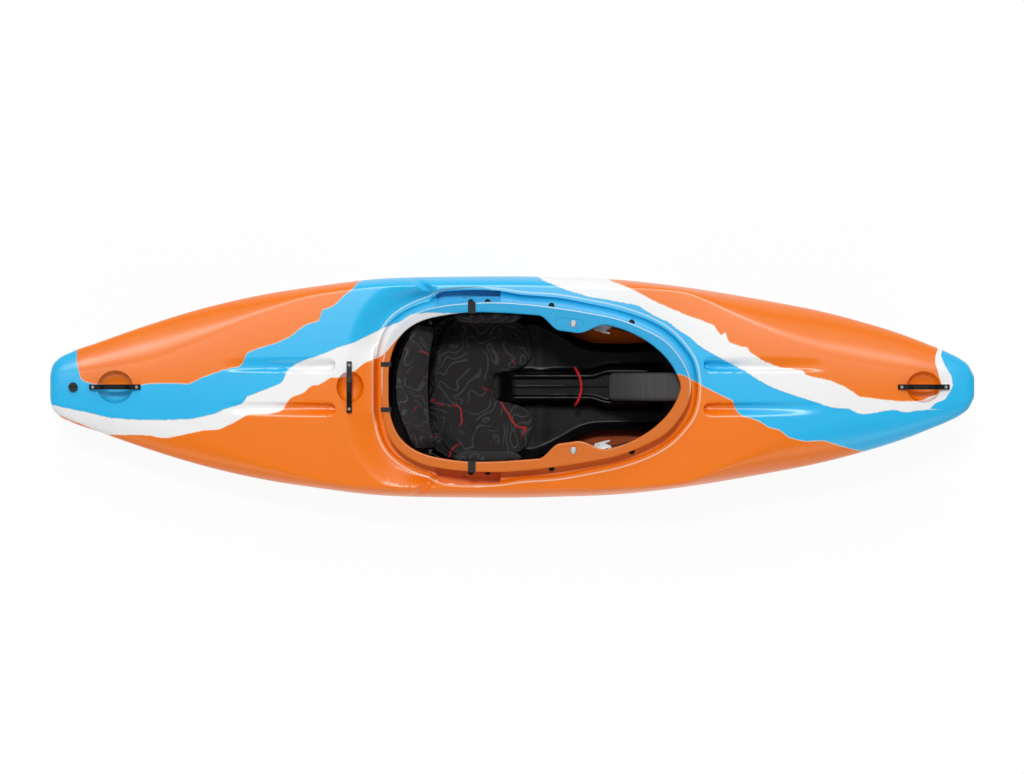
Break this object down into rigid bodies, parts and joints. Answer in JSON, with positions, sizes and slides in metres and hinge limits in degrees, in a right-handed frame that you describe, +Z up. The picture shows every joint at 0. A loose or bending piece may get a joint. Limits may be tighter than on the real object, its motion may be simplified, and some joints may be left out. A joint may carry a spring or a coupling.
{
  "type": "whitewater kayak",
  "caption": "Short river kayak with a moulded shell, adjustable seat, backband, thigh braces and footrest, toothed straps in ratchets, grab bars and a drain plug",
  "frame": {"origin": "middle of the length, on the centreline, on the flat of the bottom", "axes": "+X to the bow, +Y to port, +Z up"},
  "size_m": [2.69, 0.648, 0.3547],
  "materials": {
    "hull_shell": "rotomoulded polyethylene in orange, blue and white, satin",
    "bar": "moulded, satin black",
    "steel": "stainless, lightly brushed",
    "plug": "moulded, dull black",
    "rubber": "dull",
    "outfitting": "moulded, fine grain",
    "fabric": "woven, printed with thin wavy lines",
    "foam": "closed-cell foam, matte",
    "webbing": "woven band",
    "strap": "moulded, satin",
    "cord": "braided elastic cord",
    "rail": "anodised"
  },
  "bodies": {
    "hull": {"hull_shell": "hull_shell", "stern_bar": "bar", "bow_bar": "bar", "rear_bar": "bar", "stern_bar_bolt_1": "steel", "stern_bar_bolt_2": "steel", "bow_bar_bolt_1": "steel", "bow_bar_bolt_2": "steel", "rear_bar_bolt_1": "steel", "rear_bar_bolt_2": "steel", "hip_bolt_rear_port": "steel", "hip_bolt_rear_starboard": "steel", "hip_bolt_front_port": "steel", "hip_bolt_front_starboard": "steel", "thigh_bolt_port": "steel", "thigh_bolt_starboard": "steel", "guide_bolt_port": "steel", "guide_bolt_starboard": "steel", "hook_bolt_port": "steel", "hook_bolt_starboard": "steel", "ratchet_base_port": "steel", "ratchet_base_starboard": "steel", "ratchet_pin_port": "steel", "ratchet_pin_starboard": "steel", "band_pivot_port": "steel", "band_pivot_starboard": "steel", "hip_plate_port": "outfitting", "hip_plate_starboard": "outfitting", "footrest_guide_port": "outfitting", "footrest_guide_starboard": "outfitting", "hip_pad_port": "fabric", "hip_pad_starboard": "fabric", "rear_pillar": "foam", "side_webbing_port": "webbing", "side_webbing_starboard": "webbing", "rear_webbing_port": "webbing", "rear_webbing_starboard": "webbing", "ladder_strap_port": "strap", "ladder_strap_starboard": "strap", "seat_rail_port": "rail", "seat_rail_starboard": "rail"},
    "seat": {"seat_pan": "outfitting", "seat_pad": "fabric", "console_cord": "cord", "front_pillar": "foam"},
    "backband": {"backband_shell": "outfitting", "backband_pad": "fabric"},
    "thigh_brace_port": {"thigh_brace_port": "outfitting", "thigh_pad_port": "foam"},
    "thigh_brace_starboard": {"thigh_brace_starboard": "outfitting", "thigh_pad_starboard": "foam"},
    "lever_port": {"ratchet_lever_port": "steel"},
    "lever_starboard": {"ratchet_lever_starboard": "steel"},
    "footrest": {"footrest_plate": "outfitting", "footrest_foam": "foam", "footrest_rail_port": "rail", "footrest_rail_starboard": "rail"},
    "plug_travel": {"drain_gasket": "rubber"},
    "plug": {"drain_plug": "plug"}
  },
  "joints": [
    {"name": "seat_slide", "type": "slide", "parent": "hull", "child": "seat", "axis": [1, 0, 0], "range_m": [-0.03, 0.03]},
    {"name": "backband_hinge", "type": "hinge", "parent": "hull", "child": "backband", "pos_m": [-0.236, 0, 0.15], "axis": [0, 1, 0], "range_deg": [0, 30]},
    {"name": "thigh_slide_port", "type": "slide", "parent": "hull", "child": "thigh_brace_port", "axis": [0.9866, -0.1302, 0.0987], "range_m": [-0.012, 0.012]},
    {"name": "thigh_slide_starboard", "type": "slide", "parent": "hull", "child": "thigh_brace_starboard", "axis": [0.9866, 0.1302, 0.0987], "range_m": [-0.012, 0.012]},
    {"name": "lever_hinge_port", "type": "hinge", "parent": "hull", "child": "lever_port", "pos_m": [0.25806, 0.16862, 0.25315], "axis": [0.0995, 0, -0.995], "range_deg": [0, 50], "stiffness_Nm_per_rad": 0.05},
    {"name": "lever_hinge_starboard", "type": "hinge", "parent": "hull", "child": "lever_starboard", "pos_m": [0.25806, -0.16862, 0.25315], "axis": [-0.0995, 0, 0.995], "range_deg": [0, 50], "stiffness_Nm_per_rad": 0.05},
    {"name": "footrest_slide", "type": "slide", "parent": "hull", "child": "footrest", "axis": [1, 0, 0], "range_m": [-0.08, 0.08]},
    {"name": "plug_slide", "type": "slide", "parent": "hull", "child": "plug_travel", "axis": [0, 0, 1], "range_m": [0, 0.012]},
    {"name": "plug_turn", "type": "hinge", "parent": "plug_travel", "child": "plug", "pos_m": [-1.276, 0, 0.226], "axis": [0, 0, 1], "range_deg": [0, 1080]}
  ],
  "couplings": [
    {"joint": "plug_slide", "follows": "plug_turn", "m_per_rad": 0.00063662}
  ]
}
